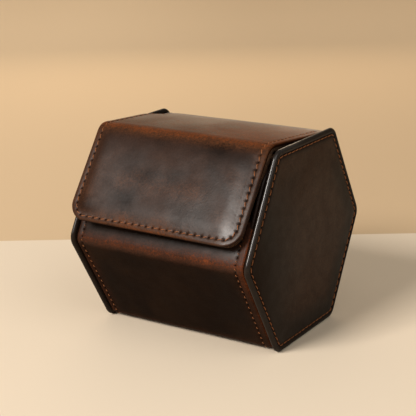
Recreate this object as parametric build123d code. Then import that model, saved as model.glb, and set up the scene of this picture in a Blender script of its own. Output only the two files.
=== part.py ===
from build123d import *
import math
import os

# Leather display box for one pocket watch, in millimetres.
# The box lies along X between two hexagonal ends, its front faces -Y and +Z is up.
# The origin is midway between the ends, on the surface that the two end rims stand on.
# Wall outlines are drawn as seen from the end, in the (Y, Z) plane, and extruded along X.

# --- ends -------------------------------------------------------------------------------------
box_length = 92.0            # outer face to outer face
end_across_flats = 90.0      # height of each hexagonal end
end_corner_radius = 6.3
rim_thickness = 3.1          # turned leather edge of an end, along X
rim_band = 2.2               # width of the turned edge around the end board
rim_round = 1.2              # rounding of the rim, leaves a narrow foot to stand on
cover_leather = 1.4
gusset_leather = 1.6
gusset_setback = 0.4         # how far the gusset's edge lies inside the rim
gusset_flange = 5.0          # width of the gusset's turned-in flange
end_panel_thickness = 2.0    # suede-covered inner end panel

# --- wrapped shell ----------------------------------------------------------------------------
shell_setback = 1.25         # the shell's leather lies this far inside the rims
shell_leather = 1.8
shell_board = 1.6
shell_lining = 0.8
shell_bend_radius = 5.0
board_fold_gap = 2.5         # bare leather between a board's end and the fold

# --- flap -------------------------------------------------------------------------------------
flap_leather = 1.8
flap_board = 1.2
flap_backing = 2.0           # inner leather, hollowed out for the board
flap_board_margin = 4.5      # leather on leather around each flap board
flap_reach = 43.3            # how far the flap comes down the upper front side
flap_corner_radius = 8.5
flap_sunk_at_hinge = 2.0     # flap's surface below the rims, along the hinge
flap_proud_at_fold = 1.5     # flap's surface above the rims, at the top front fold
flap_front_proud_top = 0.8   # flap front's surface outside the rims, at its top
flap_front_proud_low = 5.3   # and at its lower edge, where it springs away from the lip
flap_side_play = 0.3
flap_seat_play = 0.3         # end panels' top edges below the closed flap
flap_edge_round = 0.6
hinge_strip = 6.0            # bending leather on each side of the hinge line
hinge_bend_radius = 5.0
fold_strip = 6.0             # bending leather on each side of the fold line
fold_bend_radius = 6.0
fold_lining = 0.8            # thin lining behind the hinge and the fold
tightest_bend = 0.4

# --- magnets ----------------------------------------------------------------------------------
magnet_radius = 2.5
magnet_thickness = 1.0
magnet_play = 0.1
magnet_spacing = 50.0
magnet_land = 1.0            # board left between a flap magnet's pocket and the board's edge
lip_above_magnets = 1.5      # front lip's top edge above the pockets of its magnets

# --- lift-out insert --------------------------------------------------------------------------
deck_tilt = 12.0             # degrees, so that the watch faces forward a little
deck_below_lip = 6.0         # deck's surface below the lip's top edge
deck_play = 0.4              # around the deck
deck_pad = 4.0
deck_board = 2.0
well_radius = 24.5           # takes a watch case of 48 mm
well_depth = 7.0             # deck's surface to the watch's back
well_mouth_play = 0.3        # pad's edge outside the well
lip_clearance = 0.6          # between the lip and the watch's straight way out of the well
cup_wall = 1.2
cup_flange = 2.0
cup_flange_thickness = 1.0
cup_play = 0.2
cup_ledge = 1.5              # ring around the soft disc in the cup
cup_pad = 2.0
cup_pad_play = 0.3
notch_width = 22.0           # room for the watch's crown and bow
notch_reach = 13.0           # past the well's edge
notch_depth = 3.0
rail_width = 6.0
rail_height = 6.0
rail_end_gap = 3.0
tab_width = 10.0
tab_thickness = 0.8
tab_length = 9.0             # part that lies on the deck, and part glued under it
tab_to_rail = 2.3            # slit's distance along X from the rail beside it
tab_inset = 4.0              # slit's distance from the deck's rear edge
tab_play = 0.2

# --- places worked out from the sizes above ---------------------------------------------------
half_length = box_length / 2
rim_inner_x = half_length - rim_thickness
cover_inner_x = half_length - cover_leather
gusset_inner_x = rim_inner_x - gusset_leather
flange_end_x = gusset_inner_x - gusset_flange
panel_inner_x = gusset_inner_x - end_panel_thickness
flap_half_width = gusset_inner_x - flap_side_play
shell_thickness = shell_leather + shell_board + shell_lining
flap_thickness = flap_leather + flap_backing


class Wall:
    """A straight wall seen from the end: start point, direction and outward normal."""

    def __init__(self, start, end):
        self.start = Vector(start)
        self.end = Vector(end)
        self.length = (self.end - self.start).length
        self.along = (self.end - self.start).normalized()
        self.outward = Vector(self.along.Y, -self.along.X)

    def at(self, distance, depth=0.0):
        """The point at a distance along the wall and a depth below its surface."""
        return self.start + self.along * distance - self.outward * depth

    def sunk(self, depth):
        """The same wall, deeper in the box."""
        return Wall(self.at(0, depth), self.at(self.length, depth))

    def distance_to(self, point):
        """How far along the wall a point lies."""
        return (point - self.start).dot(self.along)

    def plane(self, distance, depth=0.0):
        """A plane on the wall: X along the box, Y back towards the wall's start, Z outward."""
        point = self.at(distance, depth)
        return Plane(
            origin=(0, point.X, point.Y),
            x_dir=(1, 0, 0),
            z_dir=(0, self.outward.X, self.outward.Y),
        )


def meet(first, second, depth=0.0):
    """The corner of two walls, at a depth below both surfaces."""
    start = first.at(0, depth)
    gap = second.at(0, depth) - start
    across = first.along.X * second.along.Y - first.along.Y * second.along.X
    reach = (gap.X * second.along.Y - gap.Y * second.along.X) / across
    return start + first.along * reach


def hexagon_walls():
    """The six sides of an end, from the top front corner down and round to the top."""
    side = end_across_flats / math.sqrt(3)
    middle = end_across_flats / 2
    corners = [
        (-side / 2, end_across_flats),
        (-side, middle),
        (-side / 2, 0),
        (side / 2, 0),
        (side, middle),
        (side / 2, end_across_flats),
    ]
    return [Wall(corner, corners[(i + 1) % 6]) for i, corner in enumerate(corners)]


upper_front, lower_front, bottom, lower_rear, upper_rear, top = hexagon_walls()

# The flap's top runs from the hinge line to the fold line, its front from there to its edge.
flap_top_run = Wall(top.at(0, flap_sunk_at_hinge), top.at(top.length, -flap_proud_at_fold))
flap_front_run = Wall(
    upper_front.at(0, -flap_front_proud_top),
    upper_front.at(flap_reach, -flap_front_proud_low),
)
hinge_line = meet(upper_rear.sunk(shell_setback), flap_top_run)
fold_line = meet(flap_top_run, flap_front_run)
flap_top_wall = Wall(hinge_line, fold_line)
flap_front_wall = Wall(fold_line, flap_front_run.end)

# The shell's walls, from the lip down and round to the hinge line.
shell_walls = [
    upper_front.sunk(shell_setback),
    lower_front.sunk(shell_setback),
    bottom.sunk(shell_setback),
    lower_rear.sunk(shell_setback),
    Wall(upper_rear.at(0, shell_setback), hinge_line),
]
shell_end = shell_walls[-1].length - hinge_strip

# Each flap magnet lies in the lower end of the flap's board, and faces one in the front lip.
magnet_pocket = magnet_radius + magnet_play
flap_magnet_place = flap_front_wall.length - flap_board_margin - magnet_land - magnet_pocket
lip_magnet_place = shell_walls[0].distance_to(flap_front_wall.at(flap_magnet_place))
lip_start = lip_magnet_place - magnet_pocket - lip_above_magnets


# --- drawing helpers --------------------------------------------------------------------------
def prism(outline, x_from, x_to):
    """Extrude an outline drawn in (Y, Z) between two places along the box."""
    return extrude(Plane.YZ.offset(x_from) * outline, amount=x_to - x_from)


def polygon(corners, radius):
    """A closed outline with rounded corners."""
    face = make_face(Polyline(*corners, close=True))
    return fillet(face.vertices(), radius)


def ring_outline(walls, radius):
    """The outline that a closed ring of walls bounds."""
    corners = [meet(wall, walls[(i + 1) % len(walls)]) for i, wall in enumerate(walls)]
    return polygon(corners, radius)


def end_outline(depth):
    """An end's hexagon, sunk evenly inside the rim."""
    walls = [w.sunk(depth) for w in (upper_front, lower_front, bottom, lower_rear, upper_rear, top)]
    return ring_outline(walls, max(end_corner_radius - depth, tightest_bend))


def band(walls, start, end, outer_depth, inner_depth, bend_radius):
    """A layer that follows walls round their corners, between two depths."""

    def line_at(depth):
        corners = [meet(a, b, depth) for a, b in zip(walls, walls[1:])]
        points = [walls[0].at(start, depth), *corners, walls[-1].at(end, depth)]
        return FilletPolyline(*points, radius=max(bend_radius - depth, tightest_bend))

    outer = line_at(outer_depth)
    inner = line_at(inner_depth)
    caps = [Line(outer @ 0, inner @ 0), Line(outer @ 1, inner @ 1)]
    return make_face([*outer.edges(), *inner.edges(), *caps])


def slab(wall, start, end, outer_depth, inner_depth):
    """A straight layer on one wall."""
    corners = [
        wall.at(start, outer_depth),
        wall.at(end, outer_depth),
        wall.at(end, inner_depth),
        wall.at(start, inner_depth),
    ]
    return make_face(Polyline(*corners, close=True))


def save(node, shape):
    """Write one sub-part to its own file."""
    export_step(shape, f"parts/{node}.step")


def save_pair(name, shape):
    """Write a right-hand piece and its mirror image."""
    save(f"{name}_right", shape)
    save(f"{name}_left", mirror(shape, about=Plane.YZ))


# --- the two ends -----------------------------------------------------------------------------
def end_cover():
    """Outer end leather with its edge turned over the board into a rounded rim."""
    block = prism(end_outline(0), rim_inner_x, half_length)
    faces = block.faces().sort_by(Axis.X)
    block = fillet(faces[0].edges() + faces[-1].edges(), rim_round)
    return block - prism(end_outline(rim_band), rim_inner_x, cover_inner_x)


def end_board():
    """Stiff board inside the turned rim."""
    return prism(end_outline(rim_band), rim_inner_x, cover_inner_x)


def end_gusset():
    """Inner end leather whose flange turns in under the shell's leather."""
    plate = prism(end_outline(gusset_setback), gusset_inner_x, rim_inner_x)
    outline = band(
        shell_walls,
        lip_start,
        shell_end,
        shell_leather,
        shell_leather + shell_board,
        shell_bend_radius,
    )
    return plate + prism(outline, flange_end_x, gusset_inner_x)


def end_panel():
    """Suede-covered inner end panel, its top edge a seat under the closed flap."""
    walls = [wall.sunk(shell_thickness) for wall in shell_walls]
    walls.append(flap_top_wall.sunk(flap_thickness + flap_seat_play))
    radius = max(shell_bend_radius - shell_thickness, tightest_bend)
    return prism(ring_outline(walls, radius), panel_inner_x, gusset_inner_x)


# --- the shell --------------------------------------------------------------------------------
def shell_layer(outer_depth, inner_depth):
    """A layer of the shell from the lip's top edge round to the hinge strip."""
    outline = band(shell_walls, lip_start, shell_end, outer_depth, inner_depth, shell_bend_radius)
    return prism(outline, -gusset_inner_x, gusset_inner_x)


def shell_panel_board(index):
    """The stiff board of one shell wall, between the gussets' flanges."""
    wall = shell_walls[index]
    start = lip_start
    end = shell_end
    if index > 0:
        corner = meet(shell_walls[index - 1], wall, shell_leather)
        start = wall.distance_to(corner) + board_fold_gap
    if index < len(shell_walls) - 1:
        corner = meet(wall, shell_walls[index + 1], shell_leather)
        end = wall.distance_to(corner) - board_fold_gap
    outline = slab(wall, start, end, shell_leather, shell_leather + shell_board)
    return prism(outline, -flange_end_x, flange_end_x)


# --- magnets ----------------------------------------------------------------------------------
def magnet_pair(plane, radius, thickness):
    """Two discs that lie under a plane, side by side along the box."""
    places = [Pos(side * magnet_spacing / 2, 0, -thickness / 2) for side in (-1, 1)]
    return [plane * place * Cylinder(radius, thickness) for place in places]


def flap_magnet_plane():
    """On the flap board's outer face."""
    return flap_front_wall.plane(flap_magnet_place, flap_leather)


def lip_magnet_plane():
    """On the lip board's outer face."""
    return shell_walls[0].plane(lip_magnet_place, shell_leather)


def lip_board():
    """Front lip's board with pockets for its magnets."""
    board = shell_panel_board(0)
    for pocket in magnet_pair(lip_magnet_plane(), magnet_pocket, shell_board):
        board -= pocket
    return board


# --- the flap ---------------------------------------------------------------------------------
def flap_sheet(wall, start, end, depth, thickness, side_margin, corner_radius):
    """A sheet on a flap wall; its two corners at the far end are rounded if a radius is given."""
    length = end - start
    sheet = Rectangle(2 * (flap_half_width - side_margin), length)
    if corner_radius > 0:
        sheet = fillet(sheet.vertices().group_by(Axis.Y)[0], corner_radius)
    plane = wall.plane((start + end) / 2, depth + thickness)
    return extrude(plane * sheet, amount=thickness)


def rounded_rim(sheet, wall, start):
    """Round a flap leather's outer edges, except where it carries on into a bending strip."""
    outer = sheet.faces().sort_by(Axis((0, 0, 0), (0, wall.outward.X, wall.outward.Y)))[-1]
    free = [
        edge
        for edge in outer.edges()
        if wall.distance_to(Vector(edge.center().Y, edge.center().Z)) > start + flap_edge_round
    ]
    return fillet(free, min(flap_edge_round, flap_leather / 2))


def flap_front_leather():
    """The flap's front, down to its rounded lower corners."""
    end = flap_front_wall.length
    sheet = flap_sheet(flap_front_wall, fold_strip, end, 0, flap_leather, 0, flap_corner_radius)
    return rounded_rim(sheet, flap_front_wall, fold_strip)


def front_board_sheet():
    """The space of the flap front's board, inside the stitched margin."""
    return flap_sheet(
        flap_front_wall,
        fold_strip,
        flap_front_wall.length - flap_board_margin,
        flap_leather,
        flap_board,
        flap_board_margin,
        max(flap_corner_radius - flap_board_margin, tightest_bend),
    )


def flap_front_board():
    """Board behind the flap's front with pockets for its magnets."""
    board = front_board_sheet()
    for pocket in magnet_pair(flap_magnet_plane(), magnet_pocket, flap_board):
        board -= pocket
    return board


def flap_front_backing():
    """Inner leather of the flap's front, hollowed out for the board."""
    end = flap_front_wall.length
    sheet = flap_sheet(
        flap_front_wall, fold_strip, end, flap_leather, flap_backing, 0, flap_corner_radius
    )
    return sheet - front_board_sheet()


def flap_top_sheet(depth, thickness, side_margin):
    """A sheet on the flap's top, between the hinge strip and the fold strip."""
    end = flap_top_wall.length - fold_strip
    return flap_sheet(flap_top_wall, hinge_strip, end, depth, thickness, side_margin, 0)


def flap_strip(walls, start, end, depth, thickness, bend_radius):
    """Leather that bends across a hinge or fold line."""
    outline = band(walls, start, end, depth, depth + thickness, bend_radius)
    return prism(outline, -flap_half_width, flap_half_width)


def hinge_layer(depth, thickness):
    """A layer of the hinge, from the shell's rear wall over to the flap's top."""
    return flap_strip(
        [shell_walls[-1], flap_top_wall],
        shell_end,
        hinge_strip,
        depth,
        thickness,
        hinge_bend_radius,
    )


def fold_layer(depth, thickness):
    """A layer of the fold, from the flap's top over to its front."""
    return flap_strip(
        [flap_top_wall, flap_front_wall],
        flap_top_wall.length - fold_strip,
        fold_strip,
        depth,
        thickness,
        fold_bend_radius,
    )


# --- the insert, drawn on a tilted plane through the lip's top edge ------------------------------
lip_edge = shell_walls[0].at(lip_start, shell_thickness)
tilt = math.radians(deck_tilt)
insert_plane = Plane(
    origin=(0, lip_edge.X, lip_edge.Y),
    x_dir=(1, 0, 0),
    z_dir=(0, -math.sin(tilt), math.cos(tilt)),
)
deck_half_x = panel_inner_x - deck_play
well_y = well_radius + lip_clearance
pad_bottom = -deck_below_lip - deck_pad
board_bottom = pad_bottom - deck_board
cup_top = pad_bottom + cup_flange_thickness
cup_seat = -deck_below_lip - well_depth
cup_floor = cup_seat - cup_pad


def block(width, length, height, x, y, z_low):
    """A block on the tilted plane, from its lowest height up."""
    return insert_plane * Pos(x, y, z_low + height / 2) * Box(width, length, height)


def disc(radius, height, z_low):
    """A disc about the well's axis."""
    return insert_plane * Pos(0, well_y, z_low + height / 2) * Cylinder(radius, height)


def slice_of_inside(width, height, x, z_low, play):
    """A layer parallel to the tilted plane that fits between the shell's walls."""
    walls = [wall.sunk(shell_thickness + play) for wall in shell_walls]
    walls.append(flap_top_wall.sunk(flap_thickness + play))
    inside = prism(ring_outline(walls, tightest_bend), x - width / 2, x + width / 2)
    reach = 2 * end_across_flats
    return inside & block(width, reach, height, x, 0, z_low)


def deck_rear_edge():
    """Where the deck's surface meets the shell's rear wall, along the tilted plane."""
    wall = shell_walls[-1].sunk(shell_thickness + deck_play)
    surface = Vector(math.sin(tilt), -math.cos(tilt)) * deck_below_lip + lip_edge
    along = Vector(math.cos(tilt), math.sin(tilt))
    return (meet(Wall(surface, surface + along), wall) - lip_edge).dot(along)


tab_y = deck_rear_edge() - tab_inset
tab_offset = panel_inner_x - rail_width - tab_to_rail - tab_width / 2


def tab_slit():
    """Slit through the deck for the pull tab."""
    width = tab_width + 2 * tab_play
    length = tab_thickness + 2 * tab_play
    return block(width, length, deck_pad + deck_board, tab_offset, tab_y, board_bottom)


def deck_pad_piece():
    """Suede pad with the watch's well and the notch for its crown and bow."""
    pad = slice_of_inside(2 * deck_half_x, deck_pad, 0, pad_bottom, deck_play)
    pad -= disc(well_radius + well_mouth_play, deck_pad, pad_bottom)
    pad -= disc(well_radius + cup_wall + cup_flange + cup_play, cup_flange_thickness, pad_bottom)
    notch_length = well_radius + notch_reach - notch_width / 2
    notch_low = -deck_below_lip - notch_depth
    middle_y = well_y + notch_length / 2
    pad -= block(notch_width, notch_length, notch_depth, 0, middle_y, notch_low)
    round_end = Pos(0, well_y + notch_length, notch_low + notch_depth / 2)
    pad -= insert_plane * round_end * Cylinder(notch_width / 2, notch_depth)
    return pad - tab_slit()


def deck_board_piece():
    """Stiff board under the pad, with a hole for the cup."""
    board = slice_of_inside(2 * deck_half_x, deck_board, 0, board_bottom, deck_play)
    board -= disc(well_radius + cup_wall + cup_play, deck_board, board_bottom)
    return board - tab_slit()


def watch_cup():
    """Cup that hangs by its flange from the board and holds the watch."""
    outer = well_radius + cup_wall
    cup = disc(outer, cup_top - cup_floor + cup_wall, cup_floor - cup_wall)
    cup += disc(outer + cup_flange, cup_flange_thickness, pad_bottom)
    cup -= disc(well_radius, cup_top - cup_seat, cup_seat)
    return cup - disc(well_radius - cup_ledge, cup_pad, cup_floor)


def cup_pad_piece():
    """Soft disc let into the cup's floor, under the watch's back."""
    return disc(well_radius - cup_ledge - cup_pad_play, cup_pad, cup_floor)


def insert_rail():
    """Ledge on an end panel that carries the deck."""
    x = panel_inner_x - rail_width / 2
    return slice_of_inside(rail_width, rail_height, x, board_bottom - rail_height, rail_end_gap)


def pull_tab():
    """Leather tab, glued under the deck, up through its slit and turned over the pad."""
    over = -deck_below_lip + tab_play
    under = board_bottom - tab_thickness
    middle_y = tab_y - (tab_length - tab_thickness) / 2
    rise = over + tab_thickness - under
    tab = block(tab_width, tab_thickness, rise, tab_offset, tab_y, under)
    tab += block(tab_width, tab_length, tab_thickness, tab_offset, middle_y, over)
    return tab + block(tab_width, tab_length, tab_thickness, tab_offset, middle_y, under)


# --- write the sub-parts ----------------------------------------------------------------------
os.makedirs("parts", exist_ok=True)

save_pair("end_cover", end_cover())
save_pair("end_board", end_board())
save_pair("end_gusset", end_gusset())
save_pair("end_panel", end_panel())

board_depth = shell_leather + shell_board
save("shell_leather", shell_layer(0, shell_leather))
save("shell_lining", shell_layer(board_depth, board_depth + shell_lining))
save("lip_board", lip_board())
for number, node in enumerate(("lower_front", "base", "lower_rear", "upper_rear"), start=1):
    save(f"{node}_board", shell_panel_board(number))
save("lip_magnets", Compound(magnet_pair(lip_magnet_plane(), magnet_radius, magnet_thickness)))

save("hinge_leather", hinge_layer(0, flap_leather))
save("hinge_lining", hinge_layer(flap_leather, fold_lining))
top_board = flap_top_sheet(flap_leather, flap_board, flap_board_margin)
save("flap_top_leather", flap_top_sheet(0, flap_leather, 0))
save("flap_top_board", top_board)
save("flap_top_backing", flap_top_sheet(flap_leather, flap_backing, 0) - top_board)
save("fold_leather", fold_layer(0, flap_leather))
save("fold_lining", fold_layer(flap_leather, fold_lining))
save("flap_front_leather", flap_front_leather())
save("flap_front_board", flap_front_board())
save("flap_front_backing", flap_front_backing())
save("flap_magnets", Compound(magnet_pair(flap_magnet_plane(), magnet_radius, magnet_thickness)))

save("deck_pad", deck_pad_piece())
save("deck_board", deck_board_piece())
save("watch_cup", watch_cup())
save("cup_pad", cup_pad_piece())
save_pair("insert_rail", insert_rail())
save("pull_tab", pull_tab())
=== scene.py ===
import math

import bpy
import numpy as np
from mathutils import Matrix, Vector, noise
from mathutils.geometry import delaunay_2d_cdt
from mathutils.kdtree import KDTree


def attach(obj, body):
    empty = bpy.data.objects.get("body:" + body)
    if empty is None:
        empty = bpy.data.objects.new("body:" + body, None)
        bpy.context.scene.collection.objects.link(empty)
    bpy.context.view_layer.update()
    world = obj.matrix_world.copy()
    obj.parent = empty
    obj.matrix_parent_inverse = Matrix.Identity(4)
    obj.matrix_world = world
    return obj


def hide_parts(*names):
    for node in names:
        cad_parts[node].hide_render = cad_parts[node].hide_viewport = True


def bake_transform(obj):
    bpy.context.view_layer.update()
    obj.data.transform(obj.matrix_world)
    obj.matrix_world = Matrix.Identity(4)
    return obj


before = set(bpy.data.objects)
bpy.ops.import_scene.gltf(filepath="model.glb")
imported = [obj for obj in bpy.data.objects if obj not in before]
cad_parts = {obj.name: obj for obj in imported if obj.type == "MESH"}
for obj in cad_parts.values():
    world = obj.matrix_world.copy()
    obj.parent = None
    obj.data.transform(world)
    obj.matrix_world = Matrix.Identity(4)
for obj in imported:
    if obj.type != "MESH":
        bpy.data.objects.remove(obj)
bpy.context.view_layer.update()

# Places are worked out in millimetres and written to the meshes in metres.
MM = 0.001

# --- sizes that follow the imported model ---
FLATS = 90.0  # height of the hexagonal ends
CORNER_RADIUS = 6.3
FACE_X = 46.0  # outer face of an end
COVER_X = 44.6  # back of the end leather, over its board
RIM_X = 42.9  # inner side of the rim
GUSSET_X = 41.3  # inner side of the gusset
BEAD_X = 43.45  # inner side of the rim's rolled bead
SHELL_X = 42.8  # the shell leather's edge, drawn over the gusset
PANEL_X = 39.3  # inner side of the end panel
FLAP_X = 42.0  # half width of the flap's leather
BACKING_X = 41.0  # half width of its backing
LEATHER = 1.8
BACKING = 2.0
LINING = 0.8
SHELL_INNER = 4.2  # leather, board and lining
FLAP_CORNER = 8.5
BEND_STRIP = 6.0  # bending leather each side of the hinge and of the fold
HINGE_BEND = 3.2  # the leather turns within this of the hinge's middle,
HINGE_DEEP = 3.0  # along a line this deep under its face
BACKING_SETBACK = 0.6  # the backing ends this far short of the flap's leather
BACK_BEND = 4.2  # half width of the thin strip of the backing at a bend
GLUE = 0.1  # how far the backing's glued face lies inside the leather
# Corners (y, z) of the line that the leather's outer face follows.
LIP = (-40.47, 62.40)
FRONT = (-50.518, 45.0)
FRONT_FOOT = (-25.259, 1.25)
REAR_FOOT = (25.259, 1.25)
REAR = (50.518, 45.0)
HINGE = (25.68, 88.02)
FOLD = (-25.881, 91.493)
FLAP_END = (-52.573, 54.664)

# --- sizes of the finish ---
PITCH = 3.33  # stitch to stitch
FLAP_ROW = 2.9  # stitch row from the flap's edge
SHELL_ROW = 3.7  # stitch row from the shell's right side edge
SHELL_ROW_LEFT = 2.9  # and from its left one
END_ROW = 3.1  # stitch row from the rim's outline
FINE = 0.36  # mesh step along the edges
SIDE_SPREAD = 1.7  # how far the flap's left side is moved out,
SIDE_FORWARD = 2.5  # forward
SIDE_LIFT = 1.7  # and up
FOLD_BACK = 0.3  # how far the fold's right end is moved back
FOLD_UP = 0.5  # and up
CREST = 0.55  # how far the leather stands proud where it folds
FRONT_SWELL = 0.8  # how far the flap swells in the middle of its front
TOP_SWELL = 0.6  # and in the middle of its top
HOLE_REACH = 0.46  # radius of a stitch's dent, and of the painted shade in it
HOLE_DEEP = 0.5  # and its depth
VALLEY_DEEP = 0.14  # the leather is pulled down this far along a stitch row,
VALLEY_HALF = 0.6  # to this each side of it
ROW_STEP = 0.3  # step between the points of a stitch row's line
INSETS = (0, 0.1, 0.24, 0.42, 0.62, 0.85, 1.15, 1.5, 1.8, 2.05, 2.3, 2.6, 2.95, 3.3, 3.8, 4.5, 5.5)
LINE_STEP = 0.25  # step between the points of a profile
ARC_STEPS = 60  # steps in each of a profile's bends
BEND_MARGIN = 1.5  # a sheet's close steps begin this far before a bend


# --- profiles and flat sheets ---
class Profile:
    """A line seen from the end, with rounded corners, measured along its length."""

    def __init__(self, corners, radii):
        corners = [np.array(corner, float) for corner in corners]
        points = [corners[0]]
        self.bends = []
        for before, corner, after, radius in zip(corners, corners[1:], corners[2:], radii):
            back = (before - corner) / np.linalg.norm(before - corner)
            on = (after - corner) / np.linalg.norm(after - corner)
            half = math.acos(np.clip(back @ on, -1, 1)) / 2
            centre = corner + (back + on) / np.linalg.norm(back + on) * radius / math.sin(half)
            first = corner + back * radius / math.tan(half) - centre
            last = corner + on * radius / math.tan(half) - centre
            turn = math.pi - 2 * half
            for share in np.linspace(0, 1, ARC_STEPS + 1):
                a = math.sin((1 - share) * turn) / math.sin(turn)
                b = math.sin(share * turn) / math.sin(turn)
                points.append(centre + a * first + b * last)
            self.bends.append((len(points) - 1 - ARC_STEPS, len(points) - 1))
        points.append(corners[-1])
        dense = []
        index = []
        for start, end in zip(points, points[1:]):
            index.append(len(dense))
            count = max(1, int(np.linalg.norm(end - start) / LINE_STEP))
            dense += [start + (end - start) * i / count for i in range(count)]
        index.append(len(dense))
        self.yz = np.array(dense + [points[-1]])
        gaps = np.diff(self.yz, axis=0)
        self.s = np.concatenate([[0], np.cumsum(np.linalg.norm(gaps, axis=1))])
        self.turn_s = (self.s[1:] + self.s[:-1]) / 2
        self.turn = np.unwrap(np.arctan2(gaps[:, 1], gaps[:, 0]))
        self.bends = [(self.s[index[a]], self.s[index[b]]) for a, b in self.bends]
        self.length = self.s[-1]

    def at(self, s, depth=0.0):
        """Points (y, z) at distances along the line and depths below it."""
        angle = np.interp(s, self.turn_s, self.turn)
        beyond = s - np.clip(s, 0, self.length)
        y = np.interp(s, self.s, self.yz[:, 0]) - np.sin(angle) * depth + np.cos(angle) * beyond
        z = np.interp(s, self.s, self.yz[:, 1]) + np.cos(angle) * depth + np.sin(angle) * beyond
        return y, z

    def normal(self, s):
        """Directions in space out of the line's outer side."""
        angle = np.interp(s, self.turn_s, self.turn)
        return np.stack([np.zeros_like(angle), np.sin(angle), -np.cos(angle)], axis=-1)

    def place(self, flat, depth=0.0):
        """Points in space of a sheet that lies on this line: flat is (x, s)."""
        y, z = self.at(flat[:, 1], depth)
        return np.stack([flat[:, 0], y, z], axis=1)

    def point(self, s, depth=0.0):
        """One point on the middle of the sheet."""
        return self.place(np.array([[0, s]]), depth)[0]


wrap = Profile(
    [LIP, FRONT, FRONT_FOOT, REAR_FOOT, REAR, HINGE, FOLD, FLAP_END],
    [5, 5, 5, 5, 5, 10],
)
S_BENDS = [(a + b) / 2 for a, b in wrap.bends]
S_HINGE, S_FOLD = S_BENDS[4], S_BENDS[5]
S_SHELL = S_HINGE - BEND_STRIP
S_SPLIT = (S_HINGE + S_FOLD) / 2
S_END = wrap.length


def steps(start, end, step):
    """Even steps from start to end."""
    return np.linspace(start, end, max(2, int(round((end - start) / step)) + 1))


def long_steps(start, end, bends, coarse, fine=0.55):
    """Steps along a sheet, closer together where it bends."""
    stops = [start, end]
    for a, b in bends:
        stops += [s for s in (a - BEND_MARGIN, b + BEND_MARGIN) if start < s < end]
    stops = sorted(stops)
    places = [start]
    reach = BEND_MARGIN + 0.1
    for a, b in zip(stops, stops[1:]):
        bent = any(low - reach < (a + b) / 2 < high + reach for low, high in bends)
        places += list(steps(a, b, fine if bent else coarse)[1:])
    return np.array(places)


def edge_distance(x, s, half, s0, s1, r0, r1):
    """How far inside a sheet's finished edges a point lies; an end with radius 0 is a seam."""
    x = abs(x)
    u = half - x
    for end, radius in ((s - s0, r0), (s1 - s, r1)):
        if radius > 0:
            cx, cs = x - (half - radius), radius - end
            corner = np.where((cx > 0) & (cs > 0), radius - np.hypot(cx, cs), np.minimum(u, end))
            u = np.minimum(u, corner)
    return u


def flat_sheet(outline, bends, coarse=1.9, insets=INSETS, fine=FINE):
    """Points, triangles and edge distances of a flat sheet, dense along its finished edges.

    outline is its half width, its two ends and the radii of their corners, 0 for a seam.
    """
    half, s0, s1, r0, r1 = outline
    side = steps(s0 + r0, s1 - r1, fine)
    cross = steps(-(half - max(r0, r1)), half - max(r0, r1), fine)
    points = []
    for inset in insets:
        if inset >= half:
            continue
        for sign in (-1, 1):
            points += [(sign * (half - inset), s) for s in side]
        for end, radius, way in ((s0, r0, -1), (s1, r1, 1)):
            if radius == 0:
                continue
            points += [(x, end - way * inset) for x in cross[1:-1]]
            if inset >= radius:
                continue
            reach = radius - inset
            count = max(2, int(reach * 1.57 / fine))
            for angle in np.linspace(0, math.pi / 2, count + 1)[1:]:
                for sign in (-1, 1):
                    x = sign * (half - radius + reach * math.cos(angle))
                    points.append((x, end - way * radius + way * reach * math.sin(angle)))
    last = insets[-1]
    for s in long_steps(s0, s1, bends, coarse):
        for x in steps(-(half - last - 0.8), half - last - 0.8, 2.4):
            seam = (s == s0 and r0 == 0) or (s == s1 and r1 == 0)
            if seam or edge_distance(x, s, *outline) > last + 0.5:
                points.append((x, s))
    flat, triangles = triangulate(np.unique(np.round(np.array(points), 5), axis=0))
    return flat, triangles, edge_distance(*flat.T, *outline)


def triangulate(points):
    """Delaunay triangles of flat points; returns the points as it orders them, and triangles."""
    found = delaunay_2d_cdt([Vector(p) for p in points], [], [], 0, 1e-6)
    flat = np.array([tuple(v) for v in found[0]])
    return flat, np.array([tuple(f) for f in found[2] if len(f) == 3])


def lumps(places, size, seed=0.0):
    """Smooth noise from -1 to 1 at places, with lumps of a given size."""
    return np.array([noise.noise(Vector(p) / size + Vector((seed, seed, seed))) for p in places])


def spots(x, s):
    """Places of a flat sheet's points, for noise."""
    return np.stack([x, s, 0 * s], axis=1)


def add_object(name, data):
    made = bpy.data.objects.new(name, data)
    bpy.context.scene.collection.objects.link(made)
    return made


def make_mesh(name, places, faces, attributes=None, sharp=None, mirror=False):
    """A smooth mesh object from points in millimetres, or its mirror image left of the middle."""
    if mirror:
        places, faces = places * np.array([-1, 1, 1]), [tuple(reversed(f)) for f in faces]
    mesh = bpy.data.meshes.new(name)
    mesh.from_pydata((np.asarray(places) * MM).tolist(), [], [list(map(int, f)) for f in faces])
    mesh.validate()
    for key, values in (attributes or {}).items():
        values = np.asarray(values, np.float32)
        kind = "FLOAT_VECTOR" if values.ndim == 2 else "FLOAT"
        layer = mesh.attributes.new(key, kind, "POINT")
        layer.data.foreach_set("vector" if values.ndim == 2 else "value", values.ravel())
    mesh.shade_smooth()
    if sharp is not None:
        mesh.set_sharp_from_angle(angle=math.radians(sharp))
    return add_object(name, mesh)


def leather_attributes(flat, **given):
    """What the leather's material reads at each point, worked out from its place when flat."""
    found = {"flat": flat * MM}
    for key, value in {"wear": 0, "hole": 0, "polish": 0, "gloss": 1, **given}.items():
        found[key] = np.zeros(len(flat)) + value
    return found


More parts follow.
